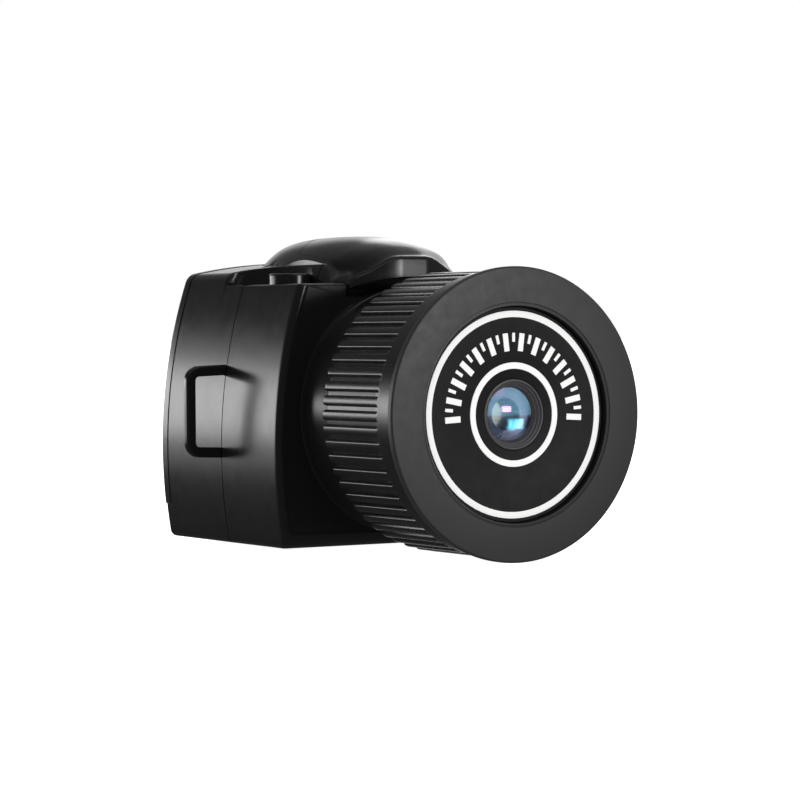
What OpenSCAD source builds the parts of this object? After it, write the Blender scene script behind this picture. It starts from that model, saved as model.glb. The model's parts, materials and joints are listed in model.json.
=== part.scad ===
// Miniature video camera styled as a single-lens reflex: a ribbed lens barrel with a
// printed dial on a small glossy body, with its optics, boards, battery and card inside.
// +Z is up, the lens looks along -Y, and the shutter button is on the -X side.
// The origin is under the middle of the whole object, at the height of its lowest point.

/* [Body] */
// Greatest half width of the body, at the belly of its bowed sides
body_half_w = 11.5; // [10.5:0.1:12.5]
// Radius of the bow of the sides, seen from the front
side_bow_r = 40; // [30:1:60]
// Height of the belly of the sides
belly_z = 7.7; // [6:0.1:9]
// Height of the body's flat base above the lowest point of the barrel
base_z = 0.55; // [0.2:0.05:1]
// Height of the top deck that carries the shutter button
deck_z = 20.4; // [20:0.1:21]
// Front face of the body
body_front_y = -2; // [-2.5:0.1:-1.5]
// Parting plane of the front and rear shells
part_y = 6.8; // [6:0.1:7.5]
// Front of the raised block behind the deck
block_y = 9.6; // [9:0.1:10.5]
// Crown of the raised block
block_z = 22.26; // [21.8:0.02:22.6]
// Rear face of the body
body_rear_y = 16.8; // [16:0.1:17.5]
// Wall thickness of the shells
wall = 1.1; // [0.9:0.1:1.3]

/* [Prism hump] */
// Greatest half width of the hump
hump_half_w = 5.8; // [5:0.05:6.5]
// Height of the hump above the deck
hump_h = 3.78; // [3:0.02:4.5]
// Middle of the hump along the camera
hump_y = 6.2; // [5:0.05:6.5]
// Length of the hump ahead of its middle, before the nose is cut flat
hump_front = 9.6; // [9:0.1:11]
// Length of the hump behind its middle
hump_rear = 9.5; // [8:0.1:10]
// Front face of the nose
nose_y = -3; // [-3.4:0.1:-2.6]

/* [Lens barrel] */
// Radius of the bezel ring
bezel_r = 10.7; // [10:0.1:11]
// Plane of the printed dial
dial_y = -16.4; // [-17:0.1:-16]
// Radius of the ribbed sleeve
sleeve_r = 10.45; // [10:0.05:10.6]
// Number of ribs round the sleeve
rib_count = 60; // [40:1:72]
// Depth of the grooves between the ribs
rib_depth = 0.32; // [0.2:0.02:0.4]
// Width of the plain band in front of the ribs
band_w = 1.75; // [1:0.05:2.5]
// Rear end of the sleeve
sleeve_rear_y = -6.8; // [-7.5:0.1:-6]
// Radius of the neck that carries the sleeve
neck_r = 9.3; // [9:0.05:9.5]

/* [Strap lugs] */
// How far the lugs reach from the middle of the camera
lug_reach = 14.4; // [13.8:0.1:15]
// Half height of a lug at its root
lug_half_h = 3.55; // [3:0.05:4]
// Thickness of a lug
lug_t = 0.65; // [0.5:0.05:0.9]
// Width of a lug's bars
lug_bar = 0.8; // [0.6:0.05:1]

/* [Controls] */
// Radius of the shutter button
shutter_r = 1.6; // [1.3:0.05:1.6]
// Height of the shutter button above the deck
shutter_h = 0.8; // [0.5:0.05:1]
// Radius of the two rear buttons
rear_button_r = 1.25; // [1:0.05:1.4]
// Distance of the rear buttons from the middle
rear_button_x = 7.4; // [7.2:0.1:7.8]

/* [Hidden] */
$fn = 96;
eps = 0.01;
// Clearance between fixed pieces, and between a button and its hole
gap = 0.06;
run = 0.08;
axis_z = bezel_r;

// Body outline: bowed sides, a crowned top and round shoulders between them
shoulder_r = 1.1;
crown_r = 45;
crown_c = [0, block_z - crown_r];
side_c = [body_half_w - side_bow_r, belly_z];

// Front shell
lip = 0.35;
deck_t = 1.1;
notch_half_w = 5.45;
notch_z = 19.4;
notch_depth = 1.4;
base_round = 1.0;

// Nose: half of its edge seen from the front, as distance from the middle and height
nose_edge = [[5.2, 0.05], [5, 0.35], [4.7, 0.6], [4.2, 0.82], [3.6, 1.06], [2.8, 1.5],
    [2.2, 1.83], [1.7, 2], [1.2, 2.07]];
nose_flat_half_w = 1.15;
nose_half_w = 5.2;
nose_turn = 0.95;
nose_full_y = -2.3;
nose_back_y = 2.2;
nose_inner_y = -0.8;
nose_arch_r = 10.3;

// Rear edge of the prism cover seen from the side, as y and height over the deck
cover_edge = [[1.6, -2], [1.6, 0.25], [1.35, 1.45], [1.75, 1.9], [3.4, 2.12], [5, 2.3],
    [6.1, 2.45], [6.45, 2.85], [6.9, 3.25], [7.8, 3.55], [8.7, 3.75], [9.2, 6]];

// Back cover: the plate over the rear, from a little above the base up to the crown
cover_low_z = 3.2;
cover_t = 1.0;
cover_proud = 0.1;
rear_round = 0.4;

// Barrel and optics
bezel_front = 0.55;
lip_r = 7.85;
dial_t = 0.9;
cell_r = 2.57;
glass_r = 1.95;
iris_r = 1.1;
cell_len = 5;
holder_y = -12.2;
sensor_y = -9.6;

// Printed dial: ring radii, and a scale of long and short ticks over its upper half
ring_in = [3.31, 3.77];
ring_out = [7.03, 7.5];
print_t = 0.05;
tick_in = [4.6, 5.25];
tick_out = 5.9;
tick_half_w = [0.22, 0.12];
tick_steps = 26;
tick_span = 186;

// Controls
shutter_x = -7.3;
shutter_y = 3.3;
rear_button_z = [7, 13.6];
led_z = 10.3;
button_proud = 0.15;
button_travel = 0.25;
rear_wall_y = 14.9;
post_at = [[-7.6, 17.3], [7.6, 17.3]];
post_r = 0.9;

// Boards
board_y = 10.1;
board_t = 0.8;
board_half_w = 8.8;
board_z = [2.3, 18.4];
tray_z = 16.4;
tray_t = 0.6;
card = [15, 1, 11];
card_x = 10.75;
card_y = 8.65;
card_z = 2.6;
usb = [7.7, 3.9, 9.2];
usb_y = 10.95;

// Centre of the shoulder's arc: it touches the bowed side and the crown from inside
function shoulder_c() =
    let (a = side_bow_r - shoulder_r, b = crown_r - shoulder_r,
         v = crown_c - side_c, d = norm(v),
         m = (a * a - b * b + d * d) / (2 * d), h = sqrt(a * a - m * m))
    side_c + m * v / d + h * [-v[1], v[0]] / d;

function angle_of(v) = atan2(v[1], v[0]);
function arc(c, r, a0, a1, n) =
    [for (i = [0:n]) c + r * [cos(a0 + (a1 - a0) * i / n), sin(a0 + (a1 - a0) * i / n)]];
function mirrored(p) = [for (i = [len(p) - 1:-1:0]) [-p[i][0], p[i][1]]];

// Outline of the body under its flat deck, moved in by d, up to height top
function deck_outline(d, low, top) =
    let (a0 = asin((low - side_c[1]) / (side_bow_r - d)),
         a1 = asin((top - side_c[1]) / (side_bow_r - d)),
         right = arc(side_c, side_bow_r - d, a0, a1, 16))
    concat(right, mirrored(right));

// Outline of the raised rear block with its shoulders and crown, moved in by d
function block_outline(d, low) =
    let (c = shoulder_c(), a0 = asin((low - side_c[1]) / (side_bow_r - d)),
         a1 = angle_of(c - side_c), a2 = angle_of(c - crown_c),
         right = concat(arc(side_c, side_bow_r - d, a0, a1, 14),
             arc(c, shoulder_r - d, a1 + 9, a2 - 9, 5),
             arc(crown_c, crown_r - d, a2, 90, 6)))
    concat(right, [for (i = [len(right) - 2:-1:0]) [-right[i][0], right[i][1]]]);

// Solid through a row of outlines, one at each y
module loft(ys, outlines) {
    n = len(outlines[0]);
    last = len(ys) - 1;
    polyhedron(
        points = [for (i = [0:last]) for (p = outlines[i]) [p[0], ys[i], p[1]]],
        faces = concat(
            [[for (j = [n - 1:-1:0]) j]],
            [[for (j = [0:n - 1]) last * n + j]],
            [for (i = [0:last - 1]) for (j = [0:n - 1]) let (k = (j + 1) % n)
                each [[i * n + j, i * n + k, (i + 1) * n + j],
                      [i * n + k, (i + 1) * n + k, (i + 1) * n + j]]]),
        convexity = 4);
}

// Prism between two values of y over a polygon of [x, z] points
module along_y(y0, y1) {
    translate([0, y1, 0]) rotate([90, 0, 0]) linear_extrude(y1 - y0) children();
}

// Round bar or ring on the lens axis between two values of y
module on_axis(r, y0, y1) {
    translate([0, y1, axis_z]) rotate([90, 0, 0]) cylinder(r = r, h = y1 - y0);
}

// Solid of revolution about the lens axis from [radius, y] points
module turned(points) {
    translate([0, 0, axis_z]) rotate([-90, 0, 0]) rotate_extrude() polygon(points);
}

module box_at(x, y, z) {
    translate([x[0], y[0], z[0]]) cube([x[1] - x[0], y[1] - y[0], z[1] - z[0]]);
}

// The hump: superelliptic sections whose width and height swell and fade along y
function fade(t, n) = pow(max(0, 1 - pow(abs(t), n)), 1 / n);
function signed_pow(v, n) = sign(v) * pow(abs(v), n);
function hump_section(y, d) =
    let (t = y < hump_y ? (y - hump_y) / (hump_front - d) : (y - hump_y) / (hump_rear - d),
         w = (hump_half_w - d) * fade(t, y < hump_y ? 2.55 : 2.2),
         h = (hump_h - d) * fade(t, y < hump_y ? 2.4 : 3))
    concat([for (i = [0:24]) let (a = 180 * i / 24)
        [w * signed_pow(cos(a), 0.82), deck_z + h * pow(max(sin(a), 0), 0.82)]],
        [[-w, deck_z - 0.5], [w, deck_z - 0.5]]);

module hump(d = 0) {
    y0 = nose_y + d;
    front = hump_y - y0;
    rear = (hump_rear - d) * 0.999;
    ys = concat([for (i = [0:13]) y0 + front * (1 - cos(90 * i / 14))],
        [for (i = [0:12]) hump_y + rear * sin(90 * i / 12)]);
    loft(ys, [for (y = ys) hump_section(y, d)]);
}

// Visor-like nose under the front of the hump: its edge sinks into the hump behind it
module nose() {
    length = nose_back_y - nose_full_y;
    ys = concat([nose_y], [for (i = [0:8]) nose_full_y + length * i / 8]);
    loft(ys, [for (y = ys)
        let (t = max(0, (y - nose_full_y) / length), g = 0.55 + 0.45 * cos(180 * t),
             right = [for (p = nose_edge) [p[0], deck_z + p[1] * g]])
        concat(right, mirrored(right),
            [[-nose_half_w, deck_z - 0.5], [nose_half_w, deck_z - 0.5]])]);
}

// Region of the hump that belongs to the prism cover, seen from the side
module cover_region(grow = 0) {
    translate([-10, 0, 0]) rotate([90, 0, 90]) linear_extrude(20)
        polygon(concat([[-6, deck_z + 6], [-6, deck_z - 2]],
            [for (p = cover_edge) [p[0] + grow, deck_z + p[1]]]));
}

// What the nose's flanks leave out, on both sides of its flat front
module nose_flanks() {
    for (s = [-1, 1])
        linear_extrude(40)
            polygon([[s * nose_flat_half_w, nose_y - 1], [s * nose_flat_half_w, nose_y],
                [s * nose_half_w, nose_y + nose_turn], [s * 9, nose_y + nose_turn],
                [s * 9, nose_y - 1]]);
}

module prism_cover() {
    color("#16171a") difference() {
        intersection() {
            union() {
                hump();
                nose();
            }
            cover_region();
        }
        nose_flanks();
        // Clear of the deck plate behind the notch
        box_at([-9, 9], [nose_inner_y, 20], [0, deck_z + gap / 2]);
        // Arch over the barrel
        along_y(nose_y - 1, nose_inner_y - 0.5)
            polygon(concat([[0, axis_z]], arc([0, axis_z], nose_arch_r, 55, 125, 14)));
        intersection() {
            hump(0.8);
            box_at([-9, 9], [0, 20], [0, 30]);
        }
    }
}

module front_shell() {
    top = deck_z - 0.07;
    color("#131316") difference() {
        union() {
            difference() {
                along_y(body_front_y, part_y - gap / 2)
                    polygon(deck_outline(0, base_z, top));
                // Hollow, open to the rear
                along_y(body_front_y + wall, part_y + 1)
                    polygon(deck_outline(wall, base_z + wall, deck_z - deck_t - gap));
                // Seat of the deck plate inside a thin lip
                along_y(body_front_y + lip, part_y + 1)
                    polygon(deck_outline(lip, deck_z - deck_t - gap, deck_z + 1));
                // Rounded lower front edge
                difference() {
                    box_at([-20, 20], [body_front_y - 1, body_front_y + base_round],
                        [base_z - 1, base_z + base_round]);
                    translate([-21, body_front_y + base_round, base_z + base_round])
                        rotate([0, 90, 0]) cylinder(r = base_round, h = 42);
                }
                // Notch under the nose of the prism cover
                box_at([-notch_half_w, notch_half_w], [body_front_y - 1, body_front_y + 2],
                    [notch_z, deck_z + 1]);
            }
            // Neck that carries the barrel sleeve, with a low collar at its foot
            on_axis(neck_r, dial_y + 0.35, body_front_y + 0.5);
        }
        on_axis(neck_r - wall, dial_y - 1, body_front_y + wall + eps);
    }
}

// Outer form of the rear shell behind the parting plane
module rear_form(d, y0) {
    rear = body_rear_y - 0.1 - d;
    r = rear_round;
    ys = concat([y0], [for (i = [0:4]) rear - r + r * sin(90 * i / 4)]);
    low = base_z + d;
    loft(ys, concat([block_outline(d, low)],
        [for (i = [0:4]) let (in = r * (1 - cos(90 * i / 4)))
            block_outline(d + min(in, shoulder_r - d - 0.05), low + min(in, 0.6))]));
}

module rear_shell() {
    color("#131316") difference() {
        union() {
            difference() {
                union() {
                    difference() {
                        rear_form(0, part_y + gap / 2);
                        // Deck ahead of the raised block
                        box_at([-20, 20], [0, block_y], [deck_z, 30]);
                    }
                    // Deck plate that reaches forward over the front shell
                    along_y(body_front_y + lip + gap, part_y + 0.5)
                        polygon(deck_outline(lip + gap, deck_z - deck_t, deck_z));
                    difference() {
                        hump();
                        cover_region(gap);
                        box_at([-20, 20], [-10, 20], [0, deck_z - 0.4]);
                    }
                }
                // Hollow of the body and of the hump
                intersection() {
                    rear_form(wall, part_y - 0.4);
                    box_at([-20, 20], [0, rear_wall_y], [0, deck_z - deck_t + 0.2]);
                }
                intersection() {
                    hump(0.9);
                    box_at([-20, 20], [-1, 30], [deck_z - deck_t - 0.1, 30]);
                }
                box_at([-4.2, 4.2], [body_front_y + 0.3, 12], [deck_z - deck_t - 0.5, deck_z]);
                // Notch at the front of the deck plate
                box_at([-notch_half_w, notch_half_w], [body_front_y - 1, body_front_y + notch_depth],
                    [18, 30]);
            }
            lugs();
            // Posts that carry the main board
            for (p = post_at)
                translate([p[0], rear_wall_y + 0.2, p[1]]) rotate([90, 0, 0])
                    cylinder(r = post_r, h = rear_wall_y + 0.2 - board_y - board_t - gap);
        }
        // Seat of the back cover
        box_at([-20, 20], [body_rear_y - cover_t - gap, 30], [cover_low_z - gap, 30]);
        // Hole of the shutter button and of the microphone
        translate([shutter_x, shutter_y, deck_z - 3]) cylinder(r = shutter_r + run, h = 6);
        translate([-shutter_x, shutter_y, deck_z - 3]) cylinder(r = 0.35, h = 6);
        // Screw holes in the posts
        for (p = post_at)
            translate([p[0], board_y + board_t + 2.6, p[1]]) rotate([90, 0, 0])
                cylinder(r = 0.5 + gap / 2, h = 4);
        // Holes of the rear buttons and the light pipe
        for (z = rear_button_z) rear_hole(rear_button_r + run, z);
        rear_hole(0.55 + gap, led_z);
        // Card slot in the side and USB port in the base
        box_at([0, 20], [card_y - 0.15, card_y + card[1] + 0.15],
            [card_z - 0.2, card_z + card[2] + 0.2]);
        box_at([-usb[0] / 2 - 0.1, usb[0] / 2 + 0.1], [usb_y - 0.05, usb_y + usb[1]], [0, 2]);
    }
}

// Hole along y through the rear wall in the column of the rear buttons
module rear_hole(r, z) {
    translate([-rear_button_x, body_rear_y + 1, z]) rotate([90, 0, 0])
        cylinder(r = r, h = 3.5);
}

// One open loop on each side for a strap, its front face on the parting plane
module lugs() {
    y = part_y + gap / 2;
    for (s = [-1, 1])
        mirror([s < 0 ? 1 : 0, 0, 0]) difference() {
            along_y(y, y + lug_t) difference() {
                polygon([[10.6, axis_z - lug_half_h], [lug_reach - 1.1, axis_z - lug_half_h + 0.12],
                    [lug_reach - 0.3, axis_z - lug_half_h + 0.45],
                    [lug_reach, axis_z - lug_half_h + 1.2],
                    [lug_reach, axis_z + lug_half_h - 1.2],
                    [lug_reach - 0.3, axis_z + lug_half_h - 0.45],
                    [lug_reach - 1.1, axis_z + lug_half_h - 0.12],
                    [10.6, axis_z + lug_half_h]]);
                polygon([[10, axis_z - lug_half_h + lug_bar + 0.05],
                    [lug_reach - lug_bar, axis_z - lug_half_h + lug_bar + 0.25],
                    [lug_reach - lug_bar, axis_z + lug_half_h - lug_bar - 0.25],
                    [10, axis_z + lug_half_h - lug_bar - 0.05]]);
            }
            // Keep the hollow of the shell free
            along_y(y - 1, y + 2) polygon(deck_outline(wall / 2, base_z + wall, deck_z - 2));
        }
}

// Plate over the rear, standing a little proud of the shell's edge
module back_cover() {
    y0 = body_rear_y - cover_t;
    r = rear_round;
    ys = [for (i = [0:5]) y0 + (cover_t) * sin(90 * i / 5)];
    color("#131316") difference() {
        intersection() {
            loft(ys, [for (i = [0:5]) block_outline(
                min(r * (1 - cos(90 * i / 5)), shoulder_r - 0.05) - cover_proud, base_z)]);
            box_at([-20, 20], [0, 30], [cover_low_z, 30]);
        }
        // Window pockets
        box_at([-4.6, 9.1], [body_rear_y - 0.45, 30], [4.6, 15.4]);
        box_at([-2.9, 2.9], [body_rear_y - 0.45, 30], [16.4, 19.4]);
        for (z = rear_button_z) rear_hole(rear_button_r + run, z);
        rear_hole(0.55 + gap, led_z);
    }
}

// Glossy display in the back cover
module display_window() {
    color("#0b0d12") box_at([-4.6 + gap, 9.1 - gap],
        [body_rear_y - 0.45 + gap / 2, body_rear_y - 0.08], [4.6 + gap, 15.4 - gap]);
}

module eyepiece_window() {
    color("#0b0d12") difference() {
        box_at([-2.9 + gap, 2.9 - gap], [body_rear_y - 0.45 + gap / 2, body_rear_y + 0.15],
            [16.4 + gap, 19.4 - gap]);
        box_at([-2.3, 2.3], [body_rear_y - 0.15, 30], [17, 18.8]);
    }
}

// Ribbed grip over the neck, with a plain band at its front
module barrel_sleeve() {
    front = dial_y + 0.05;
    groove = 2 * PI * sleeve_r / rib_count * 0.42;
    color("#17181a") difference() {
        turned([[neck_r + gap / 2, front], [sleeve_r - 0.1, front], [sleeve_r, front + 0.1],
            [sleeve_r, sleeve_rear_y - 0.15], [sleeve_r - 0.15, sleeve_rear_y],
            [neck_r + gap / 2, sleeve_rear_y]]);
        for (i = [0:rib_count - 1])
            translate([0, 0, axis_z]) rotate([0, 360 * i / rib_count, 0])
                translate([-groove / 2, dial_y + band_w, sleeve_r - rib_depth])
                    cube([groove, 20, 1]);
    }
}

// Ring that closes the barrel and frames the dial
module bezel_ring() {
    face = dial_y - bezel_front;
    back = dial_y;
    color("#2c2d30") turned([[lip_r + 0.3, face], [bezel_r - 0.25, face],
        [bezel_r - 0.07, face + 0.07], [bezel_r, face + 0.25], [bezel_r, back - 0.05],
        [bezel_r - 0.12, back + 0.02], [neck_r - wall - gap, back + 0.02],
        [neck_r - wall - gap, back + 1.6], [lip_r - 0.8, back + 1.6],
        [lip_r - 0.8, back + dial_t + gap], [lip_r, back + dial_t + gap],
        [lip_r, face + 0.35]]);
}

module dial_plate() {
    color("#1b1b1c") difference() {
        on_axis(lip_r - gap, dial_y, dial_y + dial_t);
        on_axis(cell_r + gap / 2, dial_y - 1, dial_y + 2);
    }
}

// White print on the dial: two rings, and plain ticks in place of lettering
module dial_marks() {
    color("#f4f4f2") {
        for (r = [ring_in, ring_out])
            difference() {
                on_axis(r[1], dial_y - print_t, dial_y);
                on_axis(r[0], dial_y - 1, dial_y + 1);
            }
        for (i = [0:tick_steps])
            translate([0, 0, axis_z]) rotate([0, tick_span * (i / tick_steps - 0.5), 0])
                box_at([-tick_half_w[i % 2], tick_half_w[i % 2]], [dial_y - print_t, dial_y],
                    [tick_in[i % 2], tick_out]);
    }
}

// Turned tube that holds the lens elements
module lens_cell() {
    front = dial_y - 0.05;
    color("#3a3b3e") turned([[cell_r - 0.12, front], [cell_r, front + 0.12],
        [cell_r, front + cell_len], [iris_r, front + cell_len], [iris_r, front + 3.2],
        [glass_r + gap / 2, front + 3.2], [glass_r + gap / 2, front + 0.55]]);
}

// Domed front element
module front_element() {
    dome_r = 4.6;
    centre = dial_y + 0.25 + dome_r;
    color("#8f93c9", 0.5) intersection() {
        on_axis(glass_r, dial_y, dial_y + 1.3);
        translate([0, centre, axis_z]) sphere(r = dome_r);
    }
}

module aperture_ring() {
    y = dial_y + 1.3 + gap;
    color("#26272a") turned([[iris_r, y], [glass_r, y], [glass_r, y + 0.7],
        [iris_r + 0.5, y + 0.7]]);
}

module rear_element() {
    y = dial_y + 2 + 2 * gap;
    color("#8f93c9", 0.5) on_axis(glass_r - gap, y, y + 0.9);
}

// Threaded base of the lens on the sensor board
module lens_holder() {
    color("#1b1b1c") difference() {
        union() {
            on_axis(3.6, holder_y - 1.8, holder_y + 0.1);
            box_at([-4, 4], [holder_y, sensor_y - gap], [axis_z - 4, axis_z + 4]);
        }
        on_axis(cell_r + gap / 2, -20, dial_y + cell_len + 0.2);
        box_at([-2.9, 2.9], [holder_y + 0.9, 0], [axis_z - 2.9, axis_z + 2.9]);
    }
}

module infrared_filter() {
    color("#7fb7b0", 0.5) box_at([-2, 2], [-11.2, -10.9], [axis_z - 2, axis_z + 2]);
}

module image_sensor() {
    color("#4b5563") box_at([-2.3, 2.3], [sensor_y - 0.65, sensor_y - gap],
        [axis_z - 2.3, axis_z + 2.3]);
}

module sensor_board() {
    color("#14532d") box_at([-4.5, 4.5], [sensor_y, sensor_y + 0.8], [axis_z - 4.5, axis_z + 4.5]);
}

// Disc across the neck that carries the camera module, slotted for the ribbon
module module_carrier() {
    color("#1b1b1c") difference() {
        on_axis(neck_r - wall - gap, sensor_y + 1.1, sensor_y + 2);
        box_at([-2.4, 2.4], [-20, 0], [axis_z + 2.6, axis_z + 3.6]);
    }
}

// Flat ribbon from the sensor board over the battery to the main board
module ribbon_cable() {
    t = 0.15;
    half = 2;
    y0 = sensor_y + 0.8 + gap;
    y1 = board_y - gap;
    z1 = axis_z + 3;
    z2 = 16.1;
    color("#b45309") {
        box_at([-half, half], [y0, y0 + t], [z1 - 5, z1 + t]);
        box_at([-half, half], [y0, body_front_y + wall + 0.1], [z1, z1 + t]);
        box_at([-half, half], [body_front_y + wall + 0.1 - t, body_front_y + wall + 0.1],
            [z1, z2 + t]);
        box_at([-half, half], [body_front_y + wall + 0.1 - t, 8.3], [z2, z2 + t]);
        box_at([-half, half], [8.3 - t, 8.3], [z2, 17.4 + t]);
        box_at([-half, half], [8.3 - t, y1], [17.4, 17.4 + t]);
    }
}

// Soft pouch cell
module battery() {
    color("#b9bcc2") {
        box_at([-8.2, 8.2], [-0.3, 6.1], [2, 14.9]);
        box_at([-6.5, 6.5], [2, 2.4], [14.9, 15.7]);
    }
}

// Red and black leads from the cell to the main board
module battery_leads() {
    r = 0.3;
    y0 = 2.4 + gap;
    for (s = [[-1, "#b91c1c"], [1, "#111111"]])
        color(s[1]) {
            translate([s[0] * 5, y0, 15.4]) rotate([-90, 0, 0])
                cylinder(r = r, h = board_y - gap - y0, $fn = 24);
        }
}

module foam_pad() {
    color("#3f3f46") box_at([-7, 7], [6.15, 8.2], [2.6, 14.2]);
}

module main_board() {
    color("#14532d") difference() {
        box_at([-board_half_w, board_half_w], [board_y, board_y + board_t], board_z);
        for (p = post_at)
            translate([p[0], board_y + 2, p[1]]) rotate([90, 0, 0]) cylinder(r = 0.6, h = 4);
    }
}

module processor_chip() {
    color("#1f2937") box_at([0.4, 6.4], [board_y + board_t + gap, board_y + board_t + 1], [10.8, 16]);
}

module memory_chip() {
    color("#1f2937") box_at([-5.6, -1.4], [board_y + board_t + gap, board_y + board_t + 1], [11.5, 16]);
}

module crystal() {
    color("#d4d4d8") box_at([-5.4, -2.4], [board_y + board_t + gap, board_y + board_t + 0.9],
        [9.9, 11]);
}

// Two small screws that hold the main board to its posts
module board_screws() {
    color("#9ca3af") for (p = post_at)
        translate([p[0], board_y - gap, p[1]]) {
            rotate([90, 0, 0]) difference() {
                cylinder(r = 1, h = 0.6);
                translate([-0.7, -0.12, 0.3]) cube([1.4, 0.24, 1]);
                translate([-0.12, -0.7, 0.3]) cube([0.24, 1.4, 1]);
            }
            rotate([-90, 0, 0]) cylinder(r = 0.5, h = board_t + 2.4);
        }
}

// Metal-lidded socket that the card slides into
module card_socket() {
    color("#a1a1aa") difference() {
        box_at([-5.2, 9.6], [card_y - 0.35, board_y - gap],
            [card_z - 0.8, card_z + card[2] + 0.8]);
        box_at([card_x - card[0] - 0.3, 20], [card_y - run, card_y + card[1] + run],
            [card_z - run, card_z + card[2] + run]);
    }
}

module memory_card() {
    color("#202124") difference() {
        box_at([card_x - card[0], card_x], [card_y, card_y + card[1]], [card_z, card_z + card[2]]);
        // Finger groove, and the clipped corner of the card's leading end
        translate([card_x - 1, card_y, card_z + 1.5]) cylinder(r = 0.25, h = card[2] - 3, $fn = 24);
        translate([card_x - card[0], card_y - 1, card_z - 0.1]) rotate([0, 45, 0])
            cube([1.6, 4, 1.6], center = true);
    }
}

// Mini USB socket that opens through the base
module usb_socket() {
    z0 = base_z + 0.05;
    color("#c4c6ca") {
        difference() {
            box_at([-usb[0] / 2, usb[0] / 2], [usb_y + gap, usb_y + usb[1] - gap],
                [z0, z0 + usb[2]]);
            box_at([-usb[0] / 2 + 0.35, usb[0] / 2 - 0.35],
                [usb_y + gap + 0.35, usb_y + usb[1] - gap - 0.35], [z0 - 1, z0 + usb[2] - 1.5]);
        }
        box_at([-2.6, 2.6], [usb_y + 1.4, usb_y + 2.3], [z0 + 1, z0 + usb[2] - 1]);
    }
}

// Small board under the deck for the shutter switch and the microphone
module button_board() {
    color("#14532d") box_at([-9, 9], [-0.6, 5.8], [tray_z, tray_z + tray_t]);
}

module shutter_switch() {
    z = tray_z + tray_t + gap / 2;
    color("#d4d4d8") {
        box_at([shutter_x - 1.6, shutter_x + 1.6], [shutter_y - 1.6, shutter_y + 1.6], [z, z + 0.6]);
        translate([shutter_x, shutter_y, z + 0.5]) cylinder(r = 0.7, h = 0.45);
    }
}

module microphone() {
    color("#9ca3af") translate([-shutter_x, shutter_y, tray_z + tray_t + gap / 2])
        cylinder(r = 1.5, h = 1.2);
}

// The tactile switches behind the two rear buttons
module rear_switches() {
    y = board_y + board_t + gap / 2;
    color("#d4d4d8") for (z = rear_button_z) {
        box_at([-rear_button_x - 1.2, -rear_button_x + 1.2], [y, y + 0.8], [z - 1.2, z + 1.2]);
        translate([-rear_button_x, y + 0.7, z]) rotate([-90, 0, 0]) cylinder(r = 0.6, h = 0.5);
    }
}

module status_led() {
    y = board_y + board_t + gap / 2;
    color("#e5e7eb") box_at([-rear_button_x - 0.8, -rear_button_x + 0.8], [y, y + 0.6],
        [led_z - 0.4, led_z + 0.4]);
}

// Clear rod that carries the status light to the rear face
module light_pipe() {
    y0 = board_y + board_t + 0.7;
    color("#9ecbff", 0.6) translate([-rear_button_x, y0, led_z]) rotate([-90, 0, 0])
        cylinder(r = 0.55, h = body_rear_y + 0.05 - y0);
}

// Round button on the deck, its stem above the switch, held in by a tab under the deck
module shutter_button() {
    switch_top = tray_z + tray_t + gap / 2 + 0.95;
    stem_low = switch_top + 0.35;
    cap_low = deck_z - deck_t + 0.35;
    color("#1c1d20") {
        translate([shutter_x, shutter_y, cap_low]) {
            cylinder(r = shutter_r, h = deck_z + shutter_h - cap_low - 0.15);
            translate([0, 0, deck_z + shutter_h - cap_low - 0.15])
                cylinder(r1 = shutter_r, r2 = shutter_r - 0.15, h = 0.15);
        }
        translate([shutter_x, shutter_y, stem_low]) cylinder(r = 1, h = cap_low - stem_low + 0.1);
        box_at([shutter_x, shutter_x + 2.3], [shutter_y - 0.8, shutter_y + 0.8],
            [stem_low + 0.3, deck_z - deck_t - 0.1]);
    }
}

// A rear button: a round cap with a wider foot behind the back cover
module rear_button(z) {
    foot = rear_wall_y - 0.7;
    tip = board_y + board_t + gap / 2 + 1.2 + button_travel + 0.1;
    color("#1c1d20") translate([-rear_button_x, 0, z]) rotate([-90, 0, 0]) {
        translate([0, 0, tip]) cylinder(r = 0.8, h = foot - tip + 0.1);
        translate([0, 0, foot]) cylinder(r = rear_button_r + 0.15, h = 0.6);
        translate([0, 0, foot + 0.5]) cylinder(r = rear_button_r,
            h = body_rear_y + button_proud - foot - 0.5);
    }
}

module power_button() {
    rear_button(rear_button_z[0]);
}

module mode_button() {
    rear_button(rear_button_z[1]);
}

front_shell();
rear_shell();
prism_cover();
back_cover();
display_window();
eyepiece_window();
barrel_sleeve();
bezel_ring();
dial_plate();
dial_marks();
lens_cell();
front_element();
aperture_ring();
rear_element();
lens_holder();
infrared_filter();
image_sensor();
sensor_board();
module_carrier();
ribbon_cable();
battery();
battery_leads();
foam_pad();
main_board();
processor_chip();
memory_chip();
crystal();
board_screws();
card_socket();
memory_card();
usb_socket();
button_board();
shutter_switch();
microphone();
rear_switches();
status_led();
light_pipe();
shutter_button();
power_button();
mode_button();
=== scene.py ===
"""Miniature video camera: the looks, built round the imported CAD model.

Pieces are modelled in millimetres in the row frame (+Z up, the lens looks along -Y) and scaled
to metres as they are added. Sizes come from the frame's boxes where a node gives them.
"""

import json
import math

import bmesh
import bpy
import numpy as np
from mathutils import Matrix, Vector


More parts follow.
